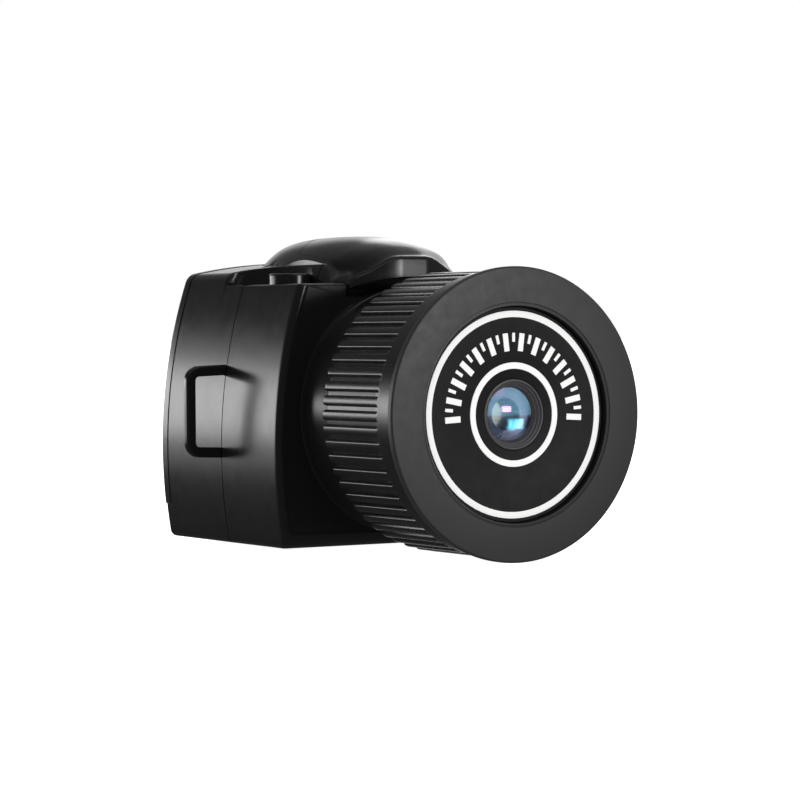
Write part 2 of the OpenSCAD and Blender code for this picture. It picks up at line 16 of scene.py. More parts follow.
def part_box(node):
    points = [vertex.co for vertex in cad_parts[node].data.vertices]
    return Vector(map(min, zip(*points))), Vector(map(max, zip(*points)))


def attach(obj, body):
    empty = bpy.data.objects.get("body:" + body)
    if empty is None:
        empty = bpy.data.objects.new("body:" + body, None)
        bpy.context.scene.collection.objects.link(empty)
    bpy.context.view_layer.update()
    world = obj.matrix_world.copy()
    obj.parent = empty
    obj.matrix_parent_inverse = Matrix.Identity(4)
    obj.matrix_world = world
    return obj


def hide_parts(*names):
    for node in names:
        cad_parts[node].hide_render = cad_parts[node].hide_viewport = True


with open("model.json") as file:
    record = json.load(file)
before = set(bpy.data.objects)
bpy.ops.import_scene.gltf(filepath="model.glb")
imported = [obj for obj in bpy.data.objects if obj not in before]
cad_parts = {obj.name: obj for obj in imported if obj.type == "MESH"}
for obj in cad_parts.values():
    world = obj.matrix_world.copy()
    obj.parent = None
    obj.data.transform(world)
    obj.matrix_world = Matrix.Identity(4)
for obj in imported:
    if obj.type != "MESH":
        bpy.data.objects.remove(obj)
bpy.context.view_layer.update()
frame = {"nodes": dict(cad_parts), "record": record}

MM = 0.001


def box_mm(node):
    low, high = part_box(node)
    return np.array(low) / MM, np.array(high) / MM


# ---------------------------------------------------------------- sizes, in millimetres
bezel_low, bezel_high = box_mm("bezel_ring")
sleeve_low, sleeve_high = box_mm("barrel_sleeve")
front_low, front_high = box_mm("front_shell")
rear_high = box_mm("rear_shell")[1]
cover_low, cover_high = box_mm("back_cover")
prism_low = box_mm("prism_cover")[0]
dial_low, dial_high = box_mm("dial_plate")
print_low = box_mm("dial_marks")[0]
button_low, button_high = box_mm("shutter_button")

AXIS_Z = (bezel_low[2] + bezel_high[2]) / 2
BEZEL_R = (bezel_high[0] - bezel_low[0]) / 2
BEZEL_FACE_Y = bezel_low[1]
DIAL_Y = dial_low[1]
SLEEVE_R = (sleeve_high[0] - sleeve_low[0]) / 2
SLEEVE_FRONT, SLEEVE_REAR = sleeve_low[1], sleeve_high[1]
NECK_R = 9.3
NECK_BORE_R = 8.2
LIP_R = 7.85

HALF_W = front_high[0]
BASE_Z = front_low[2]
FRONT_Y = -2.0
SHELL_GAP = 0.03
FIT_GAP = 0.06
PART_Y = front_high[1] + SHELL_GAP
FRONT_TOP_Z = front_high[2]
REAR_Y = rear_high[1]
COVER_REAR_Y = cover_high[1]
DECK_Z = 20.4
BOW_R = 40.0
BELLY_Z = 7.7
SIDE_C = (HALF_W - BOW_R, BELLY_Z)
CROWN_Z = 22.26
CROWN_R = 45.0
SHOULDER_R = 1.1
BLOCK_Y = 9.6
WALL = 1.1
LIP = 0.35
DECK_T = 1.1
NOTCH_HALF_W = 5.45
FRONT_ROUND = 0.5
REAR_ROUND = 0.25
PANEL_SUNK = 0.035
NOTCH_Z = 19.4
COVER_LOW_Z = cover_low[2]
COVER_PROUD = 0.05
REAR_WALL_Y = 14.9
FLANGE_Y, FLANGE_T, FLANGE_W = 14.2, 0.6, 0.15
RUN = 0.08
LIGHT_HOLE_R = 0.61

HUMP_HALF_W, HUMP_H, HUMP_Y, HUMP_FRONT, HUMP_REAR = 5.8, 3.78, 6.2, 9.6, 9.5
HUMP_CURVE = 0.82
HUMP_POWER = 2 / HUMP_CURVE
# Powers of the fade in width and height, before and behind the top of the hump
HUMP_FADE_FRONT, HUMP_FADE_REAR = (2.55, 2.4), (2.2, 3.0)
PLINTH_HALF_W = 6.05
PLINTH_DRAFT = 0.5
SWEEP_Y = 4.2
SWEEP_HALF_W = 9.2
NOSE_Y = prism_low[1]
NOSE_HALF_W = 5.2
NOSE_FLAT_HALF_W = 1.15
SKIRT_HALF_W = 6.0
SKIRT_H = 1.35
NOSE_TURN = 0.95
NOSE_ARCH_R = 10.2
COVER_EDGE = [(1.6, 0.25), (1.35, 1.45), (1.75, 1.9), (3.4, 2.12), (5.0, 2.3), (6.1, 2.45),
              (6.45, 2.85), (6.9, 3.25), (7.8, 3.55), (8.7, 3.75), (9.2, 6)]
COVER_EDGE_Y = COVER_EDGE[0][0]

LUG_X = rear_high[0]
LUG_HALF_H = 3.55
LUG_T = 0.65
LUG_BAR = 0.8

SHUTTER_R = 1.6
SHUTTER_X = button_low[0] + SHUTTER_R
SHUTTER_Y = (button_low[1] + button_high[1]) / 2
RING_IN = (3.31, 3.77)
RING_OUT = (7.03, 7.5)
CELL_R = 2.57
GLASS_R = 1.95
RIB_COUNT = 60
BAND_W = 1.75


# ---------------------------------------------------------------- mesh helpers
def new_piece(name, verts, faces):
    mesh = bpy.data.meshes.new(name)
    mesh.from_pydata(np.asarray(verts, float).tolist(), [], faces)
    bm = bmesh.new()
    bm.from_mesh(mesh)
    bmesh.ops.remove_doubles(bm, verts=bm.verts, dist=1e-5)
    bmesh.ops.recalc_face_normals(bm, faces=bm.faces)
    bm.to_mesh(mesh)
    bm.free()
    piece = bpy.data.objects.new(name, mesh)
    bpy.context.scene.collection.objects.link(piece)
    return piece


def skin_faces(ring_count, count, loop=False):
    faces = []
    for i in range(ring_count if loop else ring_count - 1):
        a, b = i * count, ((i + 1) % ring_count) * count
        for j in range(count):
            k = (j + 1) % count
            faces.append((a + j, a + k, b + k, b + j))
    return faces


def loft(name, rings, caps=True, loop=False):
    """Skin over a row of closed rings that have the same number of points."""
    count = len(rings[0])
    faces = skin_faces(len(rings), count, loop)
    if caps and not loop:
        last = (len(rings) - 1) * count
        faces.append(tuple(range(count))[::-1])
        faces.append(tuple(range(last, last + count)))
    return new_piece(name, np.concatenate(rings), faces)


def ring_at(outline, y):
    outline = np.asarray(outline)
    return np.column_stack([outline[:, 0], np.full(len(outline), y), outline[:, 1]])


def turned(name, profile, segments=192, center=(0.0, None), axis="y"):
    """Solid of revolution from a closed profile of (radius, position along the axis)."""
    angles = np.linspace(0, 2 * math.pi, segments, endpoint=False)
    cx, cz = center[0], AXIS_Z if center[1] is None else center[1]
    rings = []
    for radius, along in profile:
        u, v = radius * np.cos(angles), radius * np.sin(angles)
        if axis == "y":
            rings.append(np.column_stack([cx + u, np.full(segments, along), cz + v]))
        else:
            rings.append(np.column_stack([cx + u, cz + v, np.full(segments, along)]))
    on_axis = profile[0][0] < 1e-6 and profile[-1][0] < 1e-6
    return loft(name, rings, caps=False, loop=not on_axis)


def box_piece(name, low, high, bevel=0.0, segments=3):
    low, high = np.minimum(low, high), np.maximum(low, high)
    corners = [[x, y, z] for x in (low[0], high[0]) for y in (low[1], high[1])
               for z in (low[2], high[2])]
    faces = [(0, 1, 3, 2), (4, 6, 7, 5), (0, 4, 5, 1), (2, 3, 7, 6), (0, 2, 6, 4), (1, 5, 7, 3)]
    piece = new_piece(name, corners, faces)
    if bevel:
        round_edges(piece, bevel, segments)
    return piece


def round_edges(piece, width, segments=3, angle=40):
    bm = bmesh.new()
    bm.from_mesh(piece.data)
    edges = [e for e in bm.edges if e.is_manifold and e.calc_face_angle(0) > math.radians(angle)]
    bmesh.ops.bevel(bm, geom=edges, offset=width, segments=segments, profile=0.5,
                    affect="EDGES", clamp_overlap=True)
    bm.to_mesh(piece.data)
    bm.free()
    return piece


def apply_modifiers(piece):
    bpy.context.view_layer.update()
    graph = bpy.context.evaluated_depsgraph_get()
    mesh = bpy.data.meshes.new_from_object(piece.evaluated_get(graph))
    piece.modifiers.clear()
    piece.data = mesh


def cut(piece, cutters, operation="DIFFERENCE", solver="EXACT"):
    for cutter in cutters:
        modifier = piece.modifiers.new("cut", "BOOLEAN")
        modifier.operation = operation
        modifier.solver = solver
        modifier.object = cutter
        apply_modifiers(piece)
        bpy.data.objects.remove(cutter)
    return piece


def joined(name, pieces):
    """One mesh from several that don't touch."""
    bm = bmesh.new()
    for piece in pieces:
        bm.from_mesh(piece.data)
        bpy.data.objects.remove(piece)
    mesh = bpy.data.meshes.new(name)
    bm.to_mesh(mesh)
    bm.free()
    piece = bpy.data.objects.new(name, mesh)
    bpy.context.scene.collection.objects.link(piece)
    return piece


def finish_piece(piece, material, body="camera", replaces=(), angle=32):
    """Scales a piece to metres, shades it, and ties it to its CAD body."""
    piece.data.transform(Matrix.Scale(MM, 4))
    piece.data.materials.clear()
    piece.data.materials.append(material)
    piece.data.shade_smooth()
    piece.data.set_sharp_from_angle(angle=math.radians(angle))
    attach(piece, body)
    if replaces:
        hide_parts(*replaces)
    return piece


# ---------------------------------------------------------------- curves
def arc(center, radius, start, end, count):
    angles = np.radians(np.linspace(start, end, count))
    return np.column_stack([center[0] + radius * np.cos(angles),
                            center[1] + radius * np.sin(angles)])


def line(a, b, count):
    return np.linspace(a, b, count)


def rounded(t, radius):
    """How far an edge of that radius has still to rise, t past its start."""
    t = np.clip(t, 0, radius)
    return radius - np.sqrt(radius ** 2 - (radius - t) ** 2)


def smooth_step(value, low, high):
    t = np.clip((value - low) / (high - low), 0, 1)
    return t * t * (3 - 2 * t)


def smooth_max(a, b, width):
    overlap = np.maximum(width - np.abs(a - b), 0)
    return np.maximum(a, b) + overlap ** 2 / (4 * width)


def fade(t, power):
    return np.maximum(0, 1 - np.abs(t) ** power) ** (1 / power)


def inner_corner(radius, inset, z):
    """Centre and end direction of a small arc that touches the bowed side from inside."""
    reach = BOW_R - inset - radius
    dz = z - SIDE_C[1]
    dx = math.sqrt(reach ** 2 - dz ** 2)
    return (SIDE_C[0] + dx, z), math.degrees(math.atan2(dz, dx))


def lower_side(inset, low, low_r):
    """Half outline from the middle of the base to the foot of the bowed side."""
    radius = max(low_r, 0.03)
    center, angle = inner_corner(radius, inset, low + radius)
    base = line((0, low), (center[0], low), 9)[:-1]
    return np.concatenate([base, arc(center, radius, -90, angle, 9)]), angle


def mirrored_outline(half):
    left = half[-2:0:-1].copy()
    left[:, 0] *= -1
    return np.concatenate([half, left])


def deck_outline(inset, low, top, low_r=0.6, top_r=0.12):
    """Closed outline of the body under its flat deck."""
    foot, a0 = lower_side(inset, low, low_r)
    center, a1 = inner_corner(top_r, inset, top - top_r)
    bow = arc(SIDE_C, BOW_R - inset, a0, a1, 33)[1:-1]
    corner = arc(center, top_r, a1, 90, 7)
    return mirrored_outline(np.concatenate([foot, bow, corner,
                                            line((center[0], top), (0, top), 9)[1:]]))


def shoulder():
    """Centre of the shoulder arc and the directions where it meets the side and the crown."""
    side, crown = np.array(SIDE_C), np.array([0, CROWN_Z - CROWN_R])
    a, b = BOW_R - SHOULDER_R, CROWN_R - SHOULDER_R
    v = crown - side
    d = np.linalg.norm(v)
    m = (a * a - b * b + d * d) / (2 * d)
    h = math.sqrt(a * a - m * m)
    center = side + m * v / d + h * np.array([-v[1], v[0]]) / d
    s, c = center - side, center - crown
    return center, math.degrees(math.atan2(s[1], s[0])), math.degrees(math.atan2(c[1], c[0]))


SHOULDER_C, SHOULDER_A0, SHOULDER_A1 = shoulder()


def block_outline(inset, low, low_r=0.6):
    """Closed outline of the raised rear block."""
    foot, a0 = lower_side(inset, low, low_r)
    bow = arc(SIDE_C, BOW_R - inset, a0, SHOULDER_A0, 33)[1:-1]
    corner = arc(SHOULDER_C, max(SHOULDER_R - inset, 0.04), SHOULDER_A0, SHOULDER_A1, 13)
    crown = arc((0, CROWN_Z - CROWN_R), CROWN_R - inset, SHOULDER_A1, 90, 17)[1:]
    return mirrored_outline(np.concatenate([foot, bow, corner, crown]))


# ---------------------------------------------------------------- the hump's surface
def hump_size(y):
    """Half width and height of the dome at y."""
    front = y < HUMP_Y
    t = (y - HUMP_Y) / (HUMP_FRONT if front else HUMP_REAR)
    w_fade, h_fade = HUMP_FADE_FRONT if front else HUMP_FADE_REAR
    return HUMP_HALF_W * fade(t, w_fade), HUMP_H * fade(t, h_fade)


def dome_z(x, y):
    w, h = hump_size(y)
    u = np.clip(np.abs(x) / max(w, 1e-6), 0, 1)
    return DECK_Z + h * (1 - u ** HUMP_POWER) ** (1 / HUMP_POWER)


NOSE_EDGE = np.array([[0, 2.08], [1.2, 2.07], [1.7, 2.0], [2.2, 1.83], [2.8, 1.5], [3.6, 1.06],
                      [4.2, 0.82], [4.7, 0.6], [5.0, 0.35], [5.12, 0.15], [5.2, 0.0]])


def nose_z(x, y):
    """Height of the nose's edge, which sinks into the dome behind it."""
    sink = 1 - smooth_step(y, NOSE_Y + 0.6, 2.4)
    height = np.interp(np.abs(x), NOSE_EDGE[:, 0], NOSE_EDGE[:, 1])
    return DECK_Z + height * sink


def skirt_z(x, y):
    """Low full-width flank of the cover, from its parting line forward to the nose."""
    u = np.clip(np.abs(x) / skirt_half_w(y), 0, 1)
    rise = 0.3 + 0.7 * smooth_step(y, NOSE_Y + 0.5, NOSE_Y + 2.2)
    return DECK_Z + SKIRT_H * rise * (1 - u ** 3.0) ** (1 / 1.6)


def skirt_half_w(y):
    return NOSE_HALF_W + (SKIRT_HALF_W - NOSE_HALF_W) * smooth_step(y, NOSE_Y + 0.5, NOSE_Y + 2.4)


def crown_z(x, drop=0.0):
    return CROWN_Z - CROWN_R + np.sqrt(CROWN_R ** 2 - x ** 2) - drop


# Stations across the dome in every section that has the plinth
DOME_X = 5.1 * np.cos(np.linspace(0, math.pi / 2, 45))
DOME_X[-1] = 0
HALF_COUNT = 61
PLINTH_FILLET = 1.0
PLINTH_FADE = (-0.6, 1.3)
SKIRT_FADE = (1, 4)
SKIRT_BLEND = 2.5
NOSE_FILLET = 0.2


def plinth_half_w(y):
    """Half width of the plinth under the dome: it sweeps out to the raised block's corners."""
    t = min(max((y - SWEEP_Y) / (BLOCK_Y - SWEEP_Y), 0), 1)
    return PLINTH_HALF_W + (SWEEP_HALF_W - PLINTH_HALF_W) * (1 - math.sqrt(1 - t * t))


def hump_half(y, half_w):
    """Half section of dome, skirt and nose from the foot on the deck to the top, as (x, z)."""
    a = np.linspace(0, math.pi / 2, HALF_COUNT)
    x = half_w * np.cos(a) ** HUMP_CURVE
    x[-1] = 0
    dome = dome_z(x, y) - DECK_Z
    skirt = (skirt_z(x, y) - DECK_Z) * smooth_step(x, *SKIRT_FADE)
    z = DECK_Z + (dome ** SKIRT_BLEND + skirt ** SKIRT_BLEND) ** (1 / SKIRT_BLEND)
    z = smooth_max(z, nose_z(x, y), NOSE_FILLET)
    z = DECK_Z + (z - DECK_Z) * smooth_step(half_w - x, -1e-3, 0.03)
    foot = np.array([[half_w, DECK_Z]])
    return np.concatenate([foot, np.column_stack([x, z])])


def plinth_half(y, half_w):
    """Half section of the dome on its plinth, with the same number of points as hump_half."""
    crest, draft = 0.16, PLINTH_DRAFT
    wall_n = 12
    top = crown_z(half_w - draft)
    rim = half_w - draft - crest
    wall = np.concatenate([line((half_w, DECK_Z), (half_w - draft, top - crest), wall_n - 7),
                           arc((rim, top - crest), crest, 0, 90, 8)[1:]])
    shelf = line(rim, DOME_X[0], HALF_COUNT + 2 - wall_n - len(DOME_X))[:-1]
    x = np.concatenate([shelf, DOME_X])
    z = smooth_max(crown_z(x), dome_z(x, y), PLINTH_FILLET)
    return np.concatenate([wall, np.column_stack([x, z])])


def hump_top(y):
    """Half section used by both shells, with the plinth fading out towards the nose."""
    plain = hump_half(y, skirt_half_w(y))
    share = smooth_step(y, *PLINTH_FADE)
    if share == 0:
        return plain
    return plain * (1 - share) + plinth_half(y, plinth_half_w(y)) * share


# ---------------------------------------------------------------- body pieces
def front_shell(material):
    """Front half: a sunk panel with a rounded rim, hollow behind it and open at the rear."""
    offsets = [0, .008, .03, .06, .1, .15, .21, .28, .36, .45, .6, .8, 1.0, 1.6, 3, 5, 7, 8.4]
    # The panel lies a hair below its rim
    rings = [ring_at(deck_outline(FRONT_ROUND + inset, BASE_Z + 1.0 + inset, FRONT_TOP_Z - 0.15),
                     FRONT_Y + sunk)
             for inset, sunk in ((0.3, PANEL_SUNK), (0.23, PANEL_SUNK * 0.97),
                                 (0.07, PANEL_SUNK * 0.08), (0.02, 0))]
    for t in offsets:
        outline = deck_outline(rounded(t, FRONT_ROUND), BASE_Z + rounded(t, 1.0),
                               FRONT_TOP_Z - rounded(t, 0.15))
        rings.append(ring_at(outline, FRONT_Y + t))
    rear = PART_Y - SHELL_GAP
    rings.append(ring_at(deck_outline(0, BASE_Z, FRONT_TOP_Z), rear - 0.05))
    rings.append(ring_at(deck_outline(0.05, BASE_Z + 0.05, FRONT_TOP_Z - 0.02), rear))
    shell = loft("front_shell_skin", rings)
    under_deck = DECK_Z - DECK_T - FIT_GAP
    cavity = loft("cavity", [ring_at(deck_outline(WALL, BASE_Z + WALL, under_deck + 0.05), y)
                             for y in (FRONT_Y + WALL, PART_Y + 1)])
    seat = loft("seat", [ring_at(deck_outline(LIP, under_deck, DECK_Z + 1, low_r=0.03), y)
                         for y in (FRONT_Y + LIP, PART_Y + 1)])
    notch = box_piece("notch", [-NOTCH_HALF_W, FRONT_Y - 1, NOTCH_Z],
                      [NOTCH_HALF_W, FRONT_Y + 2, DECK_Z + 1])
    bore = turned("bore", [(0, FRONT_Y - 1), (NECK_BORE_R, FRONT_Y - 1),
                           (NECK_BORE_R, FRONT_Y + WALL + 0.5), (0, FRONT_Y + WALL + 0.5)], 96)
    cut(shell, [cavity, seat, notch, bore])
    return finish_piece(shell, material, replaces=["front_shell"])


def neck_tube(material):
    """Tube that carries the sleeve, with the fine step at its foot."""
    front, foot = DIAL_Y + 0.35, FRONT_Y + WALL
    step = FRONT_Y - 0.55
    profile = [(NECK_BORE_R, front), (NECK_R - 0.1, front), (NECK_R, front + 0.1),
               (NECK_R, step - 0.12), (NECK_R + 0.02, step - 0.06), (NECK_R - 0.08, step),
               (NECK_R - 0.08, step + 0.07), (NECK_R + 0.1, step + 0.12),
               (NECK_R + 0.12, FRONT_Y - 0.1), (NECK_R + 0.2, FRONT_Y + 0.01),
               (NECK_R - 0.2, FRONT_Y + 0.02), (NECK_R - 0.4, foot), (NECK_BORE_R, foot)]
    return finish_piece(turned("neck_tube", profile, 240), material)


def rear_section(y, inset=0.0):
    """Closed section of the rear shell at y, with the deck plate ahead of the parting plane."""
    plate = y < PART_Y - 1e-6
    low = DECK_Z - DECK_T if plate else BASE_Z + min(inset, 0.6)
    side_inset = LIP + FIT_GAP if plate else inset
    foot, a0 = lower_side(side_inset, low, 0.03 if plate else 0.6)
    if y < BLOCK_Y:
        corner_c, a1 = inner_corner(0.12, side_inset, DECK_Z - 0.12)
        bow = arc(SIDE_C, BOW_R - side_inset, a0, a1, 25)[1:-1]
        top = hump_top(y)
        deck = line((corner_c[0], DECK_Z), (top[0][0], DECK_Z), 17)[1:-1]
        half = np.concatenate([foot, bow, arc(corner_c, 0.12, a1, 90, 5), deck, top])
        return mirrored_outline(half)
    bow = arc(SIDE_C, BOW_R - inset, a0, SHOULDER_A0, 25)[1:-1]
    corner = arc(SHOULDER_C, max(SHOULDER_R - inset, 0.04), SHOULDER_A0, SHOULDER_A1, 14)
    drop = rounded(y - BLOCK_Y, 0.5)
    x = np.concatenate([line(corner[-1][0], DOME_X[0], 70 - len(DOME_X))[1:-1], DOME_X])
    lower = inset + drop * smooth_step(x, PLINTH_HALF_W, PLINTH_HALF_W + 1.5)
    corner[:, 1] -= drop
    z = smooth_max(crown_z(x, lower), dome_z(x, y) - inset, PLINTH_FILLET)
    return mirrored_outline(np.concatenate([foot, bow, corner, np.column_stack([x, z])]))


def cover_region(name, grow=0.0, base=DECK_Z - 3):
    """Prism over the side view of the part of the hump that is the prism cover."""
    edge = [(COVER_EDGE_Y, base - DECK_Z)] + COVER_EDGE
    outline = [(-8, base)] + [(y + grow, DECK_Z + z) for y, z in edge] + [(-8, DECK_Z + 6)]
    rings = [np.array([[x, y, z] for y, z in outline]) for x in (-9.0, 9.0)]
    return loft(name, rings)


def rear_shell(material):
    """Rear half with the deck plate, the raised block and the rear of the hump."""
    plate_front = FRONT_Y + LIP + FIT_GAP
    part = PART_Y + SHELL_GAP
    ys = [plate_front] + list(np.arange(plate_front + 0.25, PART_Y - 0.1, 0.25)) + [PART_Y - 1e-3]
    rings = [ring_at(rear_section(y), min(y, part - 1e-4)) for y in ys]
    rings[-1][:, 1] = part
    flare = [part, part + 0.05] + list(np.linspace(part + 0.3, BLOCK_Y - 0.35, 9))
    flare += [BLOCK_Y - g for g in (.25, .16, .09, .04, .01, 1e-4)]
    rings += [ring_at(rear_section(y), y) for y in flare]
    rings += [ring_at(rear_section(BLOCK_Y + g), BLOCK_Y + g)
              for g in (0, .01, .03, .07, .13, .2, .3, .4, .5)]
    end = REAR_Y - REAR_ROUND
    rings += [ring_at(rear_section(y), y) for y in np.linspace(BLOCK_Y + 0.7, end, 22)]
    for angle in np.radians([10, 20, 30, 40, 50, 60, 70, 80, 90]):
        inset = REAR_ROUND * (1 - math.cos(angle))
        y = end + REAR_ROUND * math.sin(angle)
        rings.append(ring_at(rear_section(y, inset), y))
    shell = loft("rear_shell_skin", rings)
    cavity = loft("cavity", [ring_at(block_outline(WALL, BASE_Z + WALL), y)
                             for y in (PART_Y - 0.4, REAR_WALL_Y)])
    lid = box_piece("lid", [-20, 0, DECK_Z - DECK_T + 0.2], [20, 30, 40])
    cut(cavity, [lid])
    front_notch = box_piece("front_notch", [-NOTCH_HALF_W, FRONT_Y - 1, 18],
                            [NOTCH_HALF_W, FRONT_Y + 1.4, 30])
    cut(shell, [cavity], solver="MANIFOLD")
    cut(shell, [front_notch, cover_region("split", 0.11, DECK_Z + 0.002)])
    seat = box_piece("seat", [-20, COVER_REAR_Y - 1.02, COVER_LOW_Z - 0.02], [20, 30, 40])
    cut(shell, [seat])
    usb_low, usb_high = box_mm("usb_socket")
    card_low, card_high = box_mm("memory_card")
    holes = [
        box_piece("port", [usb_low[0] - 0.1, usb_low[1] - 0.1, 0],
                  [usb_high[0] + 0.1, usb_high[1] + 0.1, 2]),
        box_piece("slot", [5, card_low[1] - 0.15, card_low[2] - 0.2],
                  [20, card_high[1] + 0.15, card_high[2] + 0.2]),
        upright_hole("shutter_hole", SHUTTER_X, SHUTTER_R + RUN),
        upright_hole("mic_hole", -SHUTTER_X, 0.35)]
    cut(shell, [joined("holes", holes + rear_holes())])
    return finish_piece(shell, material, replaces=["rear_shell"])


def rear_holes():
    """Holes along y through the rear wall for the two buttons and the light pipe."""
    holes = []
    for node in ("power_button", "mode_button", "light_pipe"):
        low, high = box_mm(node)
        half_w = (high[0] - low[0]) / 2
        radius = LIGHT_HOLE_R if node == "light_pipe" else half_w - FLANGE_W + RUN
        center = ((low[0] + high[0]) / 2, (low[2] + high[2]) / 2)
        start, end = REAR_WALL_Y - 0.4, 30
        holes.append(turned(node + "_hole", [(0, start), (radius, start), (radius, end),
                                             (0, end)], 64, center=center))
    return holes


def upright_hole(name, x, radius):
    """Hole down through the deck, in line with the shutter button along the camera."""
    return turned(name, [(0, DECK_Z - 3), (radius, DECK_Z - 3), (radius, DECK_Z + 3),
                         (0, DECK_Z + 3)], 64, center=(x, SHUTTER_Y), axis="z")


def nose_front_y(x):
    """Plan of the nose: a flat front with flanks that turn back on both sides."""
    turn = np.maximum(np.abs(x) - NOSE_FLAT_HALF_W, 0)
    return NOSE_Y + NOSE_TURN * (turn / (NOSE_HALF_W - NOSE_FLAT_HALF_W)) ** 1.25


def nose_arch_z(x):
    """Lower edge of the nose, an arch over the barrel that opens a little to the sides."""
    radius = NOSE_ARCH_R + 0.45 * (np.abs(x) / 5) ** 2
    return AXIS_Z + np.sqrt(radius ** 2 - x ** 2)


def prism_cover(material):
    """Front and top of the hump, its nose, and behind the nose an inner face painted as shade in a
    darker, duller black.
    """
    inner_y, wall_y = -0.7, -0.95
    floor = DECK_Z + 0.03
    steps = [0, .008, .03, .065, .11, .165, .23, .3, .45, .65, .9, 1.2]
    ys = [NOSE_Y + t for t in steps] + [wall_y - 0.2, wall_y]
    ys += [wall_y + 1e-3, inner_y, inner_y + 1e-3] + list(np.arange(-0.5, 7.4, 0.25))
    rings = []
    for y in ys:
        half = hump_top(y)
        x, z = half[:, 0], half[:, 1]
        set_back = (nose_front_y(x) - NOSE_Y) * (1 - smooth_step(y, NOSE_Y, wall_y))
        z = np.maximum(z - rounded(y - NOSE_Y, 0.3) * (z > DECK_Z + 0.05), floor + 0.03)
        bottom = nose_arch_z(x) if y <= wall_y else np.full(len(x), floor)
        if wall_y < y <= inner_y:
            bottom = np.minimum(nose_arch_z(x), DECK_Z - 0.4)
        bottom = np.minimum(bottom, z - 0.03)
        right = np.column_stack([x, y + set_back, z])
        under = np.column_stack([x, y + set_back, bottom])
        flip = np.array([-1, 1, 1])
        rings.append(np.concatenate([right, (right * flip)[-2::-1], under * flip,
                                     under[-2::-1]]))
    count, top_count = len(rings[0]), 2 * len(hump_top(0)) - 1
    faces = skin_faces(len(rings), count)
    for base, turn in ((0, 1), ((len(rings) - 1) * count, -1)):
        for j in range(top_count - 1):
            quad = (base + j, base + j + 1, base + count - 2 - j, base + count - 1 - j)
            faces.append(quad[::turn])
    cover = new_piece("prism_cover_skin", np.concatenate(rings), faces)
    cut(cover, [cover_region("region")], "INTERSECT")
    finish_piece(cover, material, replaces=["prism_cover"], angle=40)
    # Painted shade: the low faces of the inner wall behind the nose take the darker, duller
    # inner_black so the cavity looks shaded.
    cover.data.materials.append(MATERIALS["inner_black"])
    for face in cover.data.polygons:
        inside = wall_y - 0.01 < face.center.y / MM < inner_y + 0.01 and face.normal.y < -0.5
        face.material_index = int(inside and face.center.z / MM < DECK_Z + 1.5)
    return cover


def lug(name, side, material):
    """Open loop for a strap: a rounded bar along three sides of a rectangle."""
    y = PART_Y + SHELL_GAP + LUG_T / 2
    half_h = LUG_HALF_H - LUG_BAR / 2
    x0, x1 = HALF_W - 1.0, LUG_X - LUG_BAR / 2
    corner = 0.75
    path = np.concatenate([
        line((x0, half_h + 0.05), (x1 - corner, half_h - 0.05), 6)[:-1],
        arc((x1 - corner, half_h - 0.05 - corner), corner, 90, 0, 12),
        line((x1, half_h - corner - 0.1), (x1, -half_h + corner + 0.1), 10)[1:-1],
        arc((x1 - corner, -half_h + 0.05 + corner), corner, 0, -90, 12),
        line((x1 - corner, -half_h + 0.05), (x0, -half_h - 0.05), 6)[1:]])
    tangent = np.gradient(path, axis=0)
    tangent /= np.linalg.norm(tangent, axis=1)[:, None]
    normal = np.column_stack([-tangent[:, 1], tangent[:, 0]])
    edge = 0.16
    a, b = LUG_BAR / 2, LUG_T / 2
    section = np.concatenate([arc((sx * (a - edge), sy * (b - edge)), edge, start, start + 90, 5)
                              for sx, sy, start in ((1, 1, 0), (-1, 1, 90), (-1, -1, 180),
                                                    (1, -1, 270))])
    rings = []
    for point, across in zip(path, normal):
        offset = section[:, :1] * across
        rings.append(np.column_stack([side * (point[0] + offset[:, 0]), y + section[:, 1],
                                      AXIS_Z + point[1] + offset[:, 1]]))
    return finish_piece(loft(name, rings), material)


def back_cover(material):
    """Plate over the rear, a little proud of the shell, with pockets for its windows."""
    ys, outlines = [cover_low[1]], [block_outline(-COVER_PROUD, BASE_Z)]
    for angle in np.radians(np.linspace(0, 90, 10)):
        inset = REAR_ROUND * (1 - math.cos(angle)) - COVER_PROUD
        ys.append(COVER_REAR_Y - REAR_ROUND * (1 - math.sin(angle)))
        outlines.append(block_outline(inset, BASE_Z))
    plate = loft("back_cover_skin", [ring_at(o, y) for o, y in zip(outlines, ys)])
    band = box_piece("band", [-20, 0, COVER_LOW_Z], [20, 30, 40], 0.04)
    cut(plate, [band], "INTERSECT")
    pockets = []
    for node in ("display_window", "eyepiece_window"):
        low, high = box_mm(node)
        pockets.append(box_piece(
            node + "_pocket", [low[0] - FIT_GAP, low[1] - 0.03, low[2] - FIT_GAP],
            [high[0] + FIT_GAP, 30, high[2] + FIT_GAP]))
    cut(plate, [joined("pockets", pockets + rear_holes())])
    return finish_piece(plate, material, replaces=["back_cover"])


def window(node, material, frame_w=0.0):
    """Pane of a rear window, with a sunk sight inside a frame if it has one."""
    low, high = box_mm(node)
    pane = box_piece(node + "_pane", low, high, 0.12)
    if frame_w:
        cut(pane, [box_piece("sight", [low[0] + frame_w, high[1] - 0.3, low[2] + frame_w],
                             [high[0] - frame_w, 30, high[2] - frame_w], 0.1)])
    return finish_piece(pane, material, replaces=[node])


